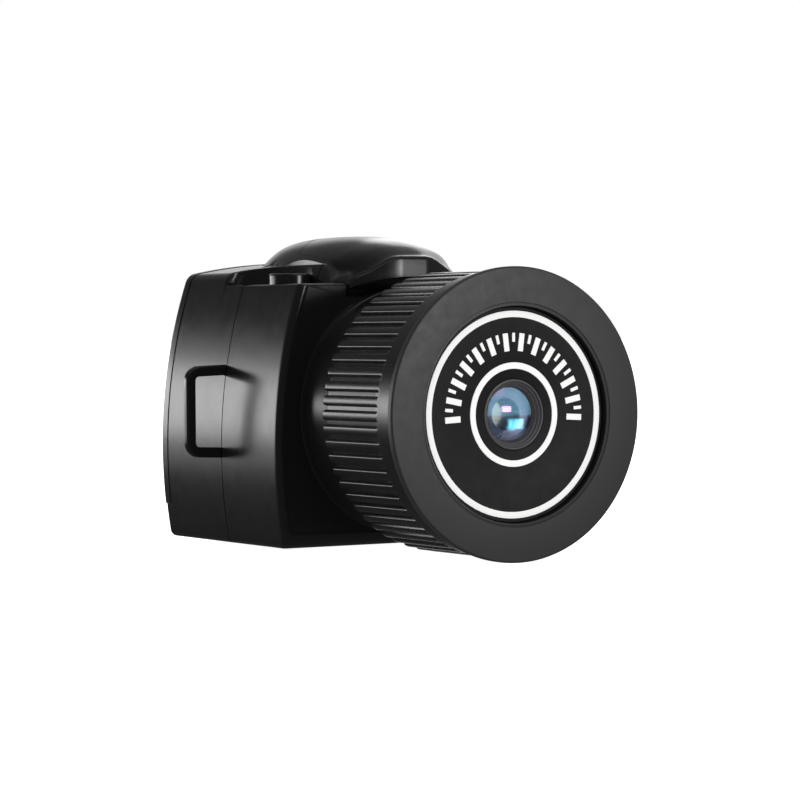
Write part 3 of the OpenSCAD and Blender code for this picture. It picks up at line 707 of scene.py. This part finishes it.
# ---------------------------------------------------------------- barrel and lens
def barrel_sleeve(material):
    """Ribbed grip: rounded ribs between grooves that run out at a plain front band."""
    per_rib = 16
    angles = np.linspace(0, 2 * math.pi, RIB_COUNT * per_rib, endpoint=False)
    phase = (angles * RIB_COUNT / (2 * math.pi)) % 1.0
    across = np.minimum(phase, 1 - phase)
    crown = 0.1 * (1 - np.sqrt(np.clip(1 - (across / 0.36) ** 2, 0, 1)))
    groove = np.minimum(crown + 0.26 * smooth_step(across, 0.29, 0.37), 0.33)
    start = SLEEVE_FRONT + BAND_W
    stations = [(SLEEVE_FRONT, -0.12, 0), (SLEEVE_FRONT + 0.04, -0.05, 0),
                (SLEEVE_FRONT + 0.12, 0, 0), (SLEEVE_FRONT + 0.2, 0, 0),
                (start - 0.1, 0, 0), (start - 0.02, 0, 0), (start + 0.03, 0, 0.15),
                (start + 0.08, 0, 0.55), (start + 0.15, 0, 0.9), (start + 0.25, 0, 1)]
    stations += [(y, 0, 1) for y in np.linspace(start + 1, SLEEVE_REAR - 0.4, 6)]
    stations += [(SLEEVE_REAR - 0.16, 0, 1), (SLEEVE_REAR - 0.05, -0.05, 1),
                 (SLEEVE_REAR, -0.16, 1)]
    rings = []

    def ring(radius, y):
        return np.column_stack([radius * np.cos(angles), np.full(len(angles), y),
                                AXIS_Z + radius * np.sin(angles)])

    for y, change, depth in stations:
        radius = SLEEVE_R + change - groove * depth
        rings.append(ring(radius, y))
    inner = NECK_R + 0.03
    rings.append(ring(np.full(len(angles), inner), SLEEVE_REAR))
    rings.append(ring(np.full(len(angles), inner), SLEEVE_FRONT))
    return finish_piece(loft("barrel_sleeve_skin", rings, loop=True), material,
                        replaces=["barrel_sleeve"], angle=50)


def bezel_ring(material):
    """Ring round the dial: a rolled outer edge, and a fine bead beside its sharp inner lip."""
    face, back = BEZEL_FACE_Y, DIAL_Y
    outer = arc((BEZEL_R - 0.14, face + 0.14), 0.14, -90, 0, 8)
    profile = [(LIP_R, face + 0.1), (LIP_R + 0.04, face + 0.05), (LIP_R + 0.15, face + 0.045),
               (LIP_R + 0.19, face + 0.06), (LIP_R + 0.23, face + 0.06),
               (LIP_R + 0.28, face)]
    profile += [tuple(p) for p in outer]
    profile += [(BEZEL_R, back - 0.06), (BEZEL_R - 0.05, back), (BEZEL_R - 0.16, back + 0.03),
                (NECK_BORE_R - 0.06, back + 0.03), (NECK_BORE_R - 0.06, back + 1.6),
                (LIP_R - 0.8, back + 1.6), (LIP_R - 0.8, back + 0.96), (LIP_R + 0.04, back + 0.96),
                (LIP_R + 0.04, face + 0.12)]
    return finish_piece(turned("bezel_ring_skin", profile, 256), material,
                        replaces=["bezel_ring"])


def recess_painted_shade(material):
    """Painted shade on the wall of the recess that the dial sits in: a dull black sleeve, darker
    than the bezel.
    """
    face, back = BEZEL_FACE_Y, DIAL_Y
    profile = [(LIP_R + 0.03, face + 0.13), (LIP_R + 0.03, back + 0.9),
               (LIP_R - 0.04, back + 0.9), (LIP_R - 0.04, back - 0.12),
               (LIP_R - 0.005, back - 0.16), (LIP_R - 0.005, face + 0.13)]
    return finish_piece(turned("recess_painted_shade", profile, 256), material)


def dial_plate(material):
    r = LIP_R - 0.07
    hole = CELL_R + 0.03
    profile = [(hole, DIAL_Y + 0.03), (hole + 0.05, DIAL_Y), (r - 0.05, DIAL_Y),
               (r, DIAL_Y + 0.05), (r, dial_high[1]), (hole, dial_high[1])]
    return finish_piece(turned("dial_disc", profile, 256), material,
                        replaces=["dial_plate"])


def print_ring(name, radii, material):
    y0, y1 = print_low[1], DIAL_Y + 0.02
    a, b = radii
    profile = [(a, y1), (a, y0 + 0.015), (a + 0.015, y0), (b - 0.015, y0), (b, y0 + 0.015),
               (b, y1)]
    return finish_piece(turned(name, profile, 256), material)


def dial_ticks(material):
    """Scale of long and short ticks over the dial's upper half."""
    steps, span, outer = 26, 186, 5.9
    ticks = []
    for i in range(steps + 1):
        half_w, inner = ((0.22, 4.6), (0.12, 5.25))[i % 2]
        tick = box_piece(f"tick_{i}", [-half_w, print_low[1], inner],
                         [half_w, DIAL_Y + 0.02, outer], 0.012, 1)
        turn = Matrix.Rotation(math.radians(span * (i / steps - 0.5)), 4, "Y")
        tick.data.transform(Matrix.Translation((0, 0, AXIS_Z)) @ turn)
        ticks.append(tick)
    return finish_piece(joined("dial_ticks", ticks), material,
                        replaces=["dial_marks"])


def lens_cell(material):
    """Turned tube round the glass, with fine steps inside its mouth."""
    low, high = box_mm("lens_cell")
    front, back = low[1], high[1]
    profile = [(CELL_R - 0.1, front), (CELL_R - 0.03, front + 0.02), (CELL_R, front + 0.1),
               (CELL_R, back), (1.1, back), (1.1, front + 3.2), (GLASS_R + 0.03, front + 3.2),
               (GLASS_R + 0.03, front + 0.62), (GLASS_R + 0.12, front + 0.5),
               (GLASS_R + 0.14, front + 0.38), (GLASS_R + 0.26, front + 0.34),
               (GLASS_R + 0.28, front + 0.2), (GLASS_R + 0.42, front + 0.15),
               (GLASS_R + 0.45, front + 0.02), (GLASS_R + 0.5, front)]
    return finish_piece(turned("lens_cell_skin", profile, 192), material,
                        replaces=["lens_cell"])


def dome_profile(radius, y_edge, sag, thickness):
    """Profile of a lens element with a spherical front and a flat back."""
    sphere = (radius ** 2 + sag ** 2) / (2 * sag)
    stations = np.linspace(0, radius, 14)
    front = [(r, y_edge - (math.sqrt(sphere ** 2 - r ** 2) - (sphere - sag))) for r in stations]
    back = [(r, y_edge + thickness) for r in stations]
    return front + back[::-1]


def front_element(material):
    low, high = box_mm("front_element")
    sag = 0.42
    profile = dome_profile(GLASS_R, low[1] + sag + 0.02, sag, high[1] - low[1] - sag - 0.02)
    return finish_piece(turned("front_glass", profile, 128), material,
                        replaces=["front_element"], angle=50)


def aperture_ring(material):
    low, high = box_mm("aperture_ring")
    profile = [(1.02, low[1] + 0.06), (1.1, low[1]), (GLASS_R, low[1]), (GLASS_R, high[1]),
               (1.6, high[1]), (1.02, low[1] + 0.12)]
    return finish_piece(turned("aperture_stop", profile, 128), material,
                        replaces=["aperture_ring"])


def rear_element(material):
    low, high = box_mm("rear_element")
    profile = dome_profile(GLASS_R - 0.06, low[1] + 0.3, 0.3, high[1] - low[1] - 0.3)
    return finish_piece(turned("rear_glass", profile, 128), material,
                        replaces=["rear_element"], angle=50)


# ---------------------------------------------------------------- controls
def shutter_button(material):
    """Cap with a shallow dish and a rolled edge, its stem and its retaining tab."""
    y = SHUTTER_Y
    top = button_high[2]
    low = DECK_Z - DECK_T + 0.35
    roll = arc((SHUTTER_R - 0.16, top - 0.16), 0.16, 0, 90, 8)
    dish = [(r, top - 0.05 * (1 - (r / 1.3) ** 2)) for r in np.linspace(1.3, 0, 10)]
    profile = [(0, button_low[2]), (1.0, button_low[2]), (1.0, low), (SHUTTER_R, low)]
    profile += [tuple(p) for p in roll] + dish
    cap = turned("shutter_button_cap", profile, 128, center=(SHUTTER_X, y), axis="z")
    tab = box_piece("tab", [SHUTTER_X, y - 0.8, button_low[2] + 0.3],
                    [button_high[0], y + 0.8, DECK_Z - DECK_T - 0.1], 0.08)
    return finish_piece(cut(cap, [tab], "UNION"), material, "shutter_button",
                        ["shutter_button"])


def rear_button(node, material):
    """Cap with a shallow dish, and the flange that holds it behind the rear wall."""
    low, high = box_mm(node)
    center = ((low[0] + high[0]) / 2, (low[2] + high[2]) / 2)
    r = (high[0] - low[0]) / 2 - FLANGE_W
    foot, top = FLANGE_Y, FLANGE_Y + FLANGE_T
    roll = arc((r - 0.16, high[1] - 0.16), 0.16, 0, 90, 8)
    dish = [(q, high[1] - 0.04 * (1 - (q / (r - 0.25)) ** 2)) for q in
            np.linspace(r - 0.25, 0, 8)]
    profile = [(0, low[1]), (0.8, low[1]), (0.8, foot), (r + FLANGE_W, foot),
               (r + FLANGE_W, top), (r, top)] + [tuple(p) for p in roll] + dish
    return finish_piece(turned(node + "_cap", profile, 96, center=center), material, node,
                        [node])


# ---------------------------------------------------------------- materials
def material_nodes(name):
    material = bpy.data.materials.new(name)
    material.use_nodes = True
    nodes = material.node_tree.nodes
    return material, nodes, material.node_tree.links, nodes["Principled BSDF"]


def grain(nodes, links, feature_mm, detail=4.0):
    """Noise in the object's own space, with features of that size."""
    place = nodes.new("ShaderNodeTexCoord")
    noise = nodes.new("ShaderNodeTexNoise")
    noise.inputs["Scale"].default_value = 1 / (feature_mm * MM)
    noise.inputs["Detail"].default_value = detail
    links.new(place.outputs["Object"], noise.inputs["Vector"])
    return noise.outputs["Fac"]


def spread(nodes, links, source, low, high, start=0.3, end=0.7):
    ramp = nodes.new("ShaderNodeMapRange")
    ramp.inputs["From Min"].default_value = start
    ramp.inputs["From Max"].default_value = end
    ramp.inputs["To Min"].default_value = low
    ramp.inputs["To Max"].default_value = high
    links.new(source, ramp.inputs["Value"])
    return ramp.outputs["Result"]


def tone(nodes, links, source, dark, light, target):
    mix = nodes.new("ShaderNodeMix")
    mix.data_type = "RGBA"
    factor, color_a, color_b = mix.inputs[0], mix.inputs[6], mix.inputs[7]
    color_a.default_value = (*dark, 1)
    color_b.default_value = (*light, 1)
    links.new(source, factor)
    links.new(mix.outputs[2], target)


def surface(name, color, roughness, spread_by=0.03, variation=0.12, feature_mm=1.2,
            bump_mm=0.0, bump_feature_mm=0.15, metallic=0.0, specular=0.5):
    """A moulded or painted surface with uneven gloss, slight tone changes and a fine grain."""
    material, nodes, links, shader = material_nodes(name)
    shader.inputs["Metallic"].default_value = metallic
    shader.inputs["Specular IOR Level"].default_value = specular
    dark = [c * (1 - variation) for c in color]
    light = [min(c * (1 + variation), 1) for c in color]
    tone(nodes, links, grain(nodes, links, feature_mm * 2.5, 2.0), dark, light,
         shader.inputs["Base Color"])
    links.new(spread(nodes, links, grain(nodes, links, feature_mm), roughness - spread_by,
                     roughness + spread_by), shader.inputs["Roughness"])
    if bump_mm:
        bump = nodes.new("ShaderNodeBump")
        bump.inputs["Strength"].default_value = 1.0
        bump.inputs["Distance"].default_value = bump_mm * MM
        links.new(grain(nodes, links, bump_feature_mm, 3.0), bump.inputs["Height"])
        links.new(bump.outputs["Normal"], shader.inputs["Normal"])
    return material


def glass(name, color, roughness=0.02, film_nm=0.0):
    """Clear glass with a slightly uneven polish, and a coloured coating if it has one."""
    material, nodes, links, shader = material_nodes(name)
    shader.inputs["Transmission Weight"].default_value = 1.0
    shader.inputs["IOR"].default_value = 1.5
    if film_nm:
        shader.inputs["Thin Film Thickness"].default_value = film_nm
        shader.inputs["Thin Film IOR"].default_value = 1.9
    tone(nodes, links, grain(nodes, links, 1.5, 1.0), [c * 0.96 for c in color], color,
         shader.inputs["Base Color"])
    links.new(spread(nodes, links, grain(nodes, links, 0.8), roughness, roughness + 0.02),
              shader.inputs["Roughness"])
    return material


MATERIALS = {
    "gloss_black": surface("gloss_black", (0.0052, 0.0052, 0.0055), 0.22, 0.02),
    "barrel": surface("barrel_black", (0.006, 0.006, 0.0063), 0.25, 0.02, bump_mm=0.0006),
    "bezel": surface("bezel_satin", (0.02, 0.02, 0.021), 0.42, 0.03, 0.06, 0.8, 0.001, 0.08),
    "dial": surface("dial_black", (0.0075, 0.0075, 0.0078), 0.55, 0.04, 0.1, 0.8, 0.001, 0.1,
                    specular=0.3),
    "print": surface("print_white", (0.92, 0.92, 0.91), 0.5, 0.04, 0.03, 0.6, 0.001, 0.08),
    "lens_metal": surface("lens_metal", (0.055, 0.055, 0.06), 0.34, 0.04, 0.1, 0.5),
    # inner_black also paints shade: the recess wall round the dial and the inner face behind the
    # nose take it to look shaded.
    "inner_black": surface("inner_black", (0.003, 0.003, 0.003), 0.6, 0.05, 0.15, 0.6, 0.002,
                           specular=0.2),
    "silicon": surface("silicon", (0.08, 0.09, 0.12), 0.15, 0.03, 0.2, 0.3),
    "board": surface("board_mask", (0.015, 0.12, 0.04), 0.35, 0.06, 0.25, 0.6, 0.004, 0.3),
    "ribbon": surface("ribbon_film", (0.45, 0.17, 0.02), 0.3, 0.05, 0.15, 0.7),
    "pouch": surface("pouch_foil", (0.6, 0.61, 0.63), 0.3, 0.08, 0.08, 0.9, 0.01, 0.7, 0.9),
    "lead": surface("lead_sleeve", (0.35, 0.015, 0.015), 0.4, 0.05, 0.15, 0.5),
    "foam": surface("foam", (0.04, 0.04, 0.045), 0.9, 0.05, 0.3, 0.3, 0.03, 0.2),
    "chip": surface("chip_package", (0.02, 0.021, 0.024), 0.6, 0.05, 0.2, 0.3, 0.004, 0.06),
    "tin": surface("tin_plate", (0.62, 0.61, 0.6), 0.28, 0.06, 0.08, 0.6, 0.002, 0.2, 1.0),
    "steel": surface("screw_steel", (0.5, 0.51, 0.54), 0.3, 0.06, 0.1, 0.4, 0.002, 0.1, 1.0),
    "led": surface("led_package", (0.8, 0.82, 0.85), 0.3, 0.05, 0.05, 0.3),
    "card": surface("card_plastic", (0.016, 0.016, 0.018), 0.45, 0.05, 0.15, 0.6, 0.003, 0.1),
    "button": surface("button_gloss", (0.006, 0.006, 0.0065), 0.2, 0.03),
    "window": surface("window_gloss", (0.006, 0.007, 0.009), 0.06, 0.02, 0.1, 2.0),
    "lens_glass": glass("lens_glass", (0.96, 0.95, 1.0), 0.08, 285.0),
    "lens_ring": surface("lens_ring", (0.13, 0.13, 0.24), 0.3, 0.04, 0.2, 0.5, metallic=0.9),
    "lens_inner": surface("lens_inner", (0.42, 0.43, 0.48), 0.22, 0.04, 0.2, 0.5, metallic=0.9),
    "filter": glass("filter_glass", (0.6, 0.85, 0.82)),
    "clear": glass("clear_rod", (0.85, 0.92, 1.0)),
}


def dress_cad_nodes():
    """Gives each CAD node the material of its slot."""
    for part in frame["record"]["subparts"]:
        node = frame["nodes"][part["node"]]
        material = MATERIALS[part["material_slot"]]
        if not node.data.materials:
            node.data.materials.append(material)
        for slot in node.material_slots:
            slot.material = material


# ---------------------------------------------------------------- studio
CAMERA_AZIMUTH, CAMERA_ELEVATION, CAMERA_ROLL = -31.6, 1.40, -0.42
CAMERA_LENS = 132.75
# From the middle of the dial: to the right, up, and back towards the camera
CAMERA_SHIFT = (-8.2125, 1.052, 212.74)
LIGHT_DISTANCE = 200.0
LIGHT_TARGET = (0, -4, 10)


def add_camera():
    a, e, r = (math.radians(v) for v in (CAMERA_AZIMUTH, CAMERA_ELEVATION, CAMERA_ROLL))
    back = Vector((math.sin(a) * math.cos(e), -math.cos(a) * math.cos(e), math.sin(e)))
    level = Vector((math.cos(a), math.sin(a), 0))
    upright = back.cross(level)
    right = math.cos(r) * level + math.sin(r) * upright
    up = -math.sin(r) * level + math.cos(r) * upright
    place = Vector((0, DIAL_Y, AXIS_Z))
    for distance, way in zip(CAMERA_SHIFT, (right, up, back)):
        place += distance * way
    data = bpy.data.cameras.new("camera")
    data.lens = CAMERA_LENS
    data.sensor_width = 36
    data.clip_start = 0.01
    camera = bpy.data.objects.new("camera", data)
    rotation = Matrix((right, up, back)).transposed().to_4x4()
    camera.matrix_world = Matrix.Translation(place * MM) @ rotation
    bpy.context.scene.collection.objects.link(camera)
    bpy.context.scene.camera = camera


def add_floor():
    """Pale floor that the camera sees and the gloss of the object doesn't."""
    side = 3000
    floor = new_piece("floor", [(-side, -side, 0), (side, -side, 0), (side, side, 0),
                                (-side, side, 0)], [(0, 1, 2, 3)])
    floor.data.transform(Matrix.Scale(MM, 4))
    paper = surface("floor_paper", (0.9, 0.9, 0.9), 0.8, 0.05, 0.01, 30)
    shader = paper.node_tree.nodes["Principled BSDF"]
    shader.inputs["Emission Color"].default_value = (1, 1, 1, 1)
    shader.inputs["Emission Strength"].default_value = 1.0
    floor.data.materials.append(paper)
    floor.visible_glossy = False
    floor.visible_diffuse = False
    floor.visible_shadow = False


def add_world():
    """White behind the object, soft on what it lights, and dim in the gloss of the plastic.

    The gloss sees a room that is dark on the left and brightens to the right.
    """
    world = bpy.data.worlds.new("studio")
    bpy.context.scene.world = world
    world.use_nodes = True
    nodes, links = world.node_tree.nodes, world.node_tree.links
    place = nodes.new("ShaderNodeTexCoord")
    lean = nodes.new("ShaderNodeVectorMath")
    lean.operation = "DOT_PRODUCT"
    lean.inputs[1].default_value = (0.7, 0.1, 0.7)
    links.new(place.outputs["Generated"], lean.inputs[0])
    right = spread(nodes, links, lean.outputs["Value"], 0.05, 0.3, 0.0, 0.95)
    behind = nodes.new("ShaderNodeVectorMath")
    behind.operation = "DOT_PRODUCT"
    behind.inputs[1].default_value = (0.523, 0.85, 0.07)
    links.new(place.outputs["Generated"], behind.inputs[0])
    backdrop = spread(nodes, links, behind.outputs["Value"], 0.0, 0.85, 0.9, 0.975)
    total = nodes.new("ShaderNodeMath")
    links.new(right, total.inputs[0])
    links.new(backdrop, total.inputs[1])
    room = total.outputs[0]
    path = nodes.new("ShaderNodeLightPath")
    fill = spread(nodes, links, path.outputs["Is Diffuse Ray"], 1.0, 0.85, 0, 1)
    mix = nodes.new("ShaderNodeMix")
    links.new(path.outputs["Is Glossy Ray"], mix.inputs[0])
    links.new(fill, mix.inputs[2])
    links.new(room, mix.inputs[3])
    links.new(mix.outputs[0], nodes["Background"].inputs["Strength"])
    nodes["Background"].inputs["Color"].default_value = (1, 1, 1, 1)


def soft_box(name, azimuth, elevation, width, height, radiance):
    """Area light aimed at the object, its size in degrees and its brightness as seen.

    Azimuth is measured from +X towards +Y.
    """
    a, e = math.radians(azimuth), math.radians(elevation)
    way = Vector((math.cos(a) * math.cos(e), math.sin(a) * math.cos(e), math.sin(e)))
    place = Vector(LIGHT_TARGET) + LIGHT_DISTANCE * way
    size = [2 * LIGHT_DISTANCE * math.tan(math.radians(v / 2)) * MM for v in (width, height)]
    data = bpy.data.lights.new(name, "AREA")
    data.shape = "RECTANGLE"
    data.size, data.size_y = size
    data.energy = radiance * math.pi * size[0] * size[1]
    light = bpy.data.objects.new(name, data)
    bpy.context.scene.collection.objects.link(light)
    direction = Vector(LIGHT_TARGET) - place
    light.matrix_world = (Matrix.Translation(place * MM)
                          @ direction.to_track_quat("-Z", "Y").to_matrix().to_4x4())
    light.visible_camera = False


def add_studio():
    add_camera()
    add_floor()
    add_world()
    soft_box("side_core", 122, 3.6, 44, 9, 4.6)
    soft_box("side_halo", 122, 3.6, 60, 17, 0.7)
    soft_box("front_key", -68, 7, 16, 8, 14.0)
    soft_box("back_right", 34, 25, 48, 24, 1.7)
    soft_box("front_left", -88, 40, 40, 24, 0.7)
    bpy.context.scene.view_settings.view_transform = "Standard"


# ---------------------------------------------------------------- the whole object
def build():
    dress_cad_nodes()
    black = MATERIALS["gloss_black"]
    front_shell(black)
    neck_tube(black)
    rear_shell(black)
    prism_cover(black)
    lug("strap_lug_left", -1, black)
    lug("strap_lug_right", 1, black)
    back_cover(black)
    window("display_window", MATERIALS["window"])
    window("eyepiece_window", MATERIALS["window"], 0.6)
    barrel_sleeve(MATERIALS["barrel"])
    bezel_ring(MATERIALS["bezel"])
    recess_painted_shade(MATERIALS["inner_black"])
    dial_plate(MATERIALS["dial"])
    print_ring("dial_ring_inner", RING_IN, MATERIALS["print"])
    print_ring("dial_ring_outer", RING_OUT, MATERIALS["print"])
    dial_ticks(MATERIALS["print"])
    lens_cell(MATERIALS["lens_metal"])
    front_element(MATERIALS["lens_glass"])
    aperture_ring(MATERIALS["lens_ring"])
    rear_element(MATERIALS["lens_inner"])
    shutter_button(MATERIALS["button"])
    rear_button("power_button", MATERIALS["button"])
    rear_button("mode_button", MATERIALS["button"])


build()
add_studio()
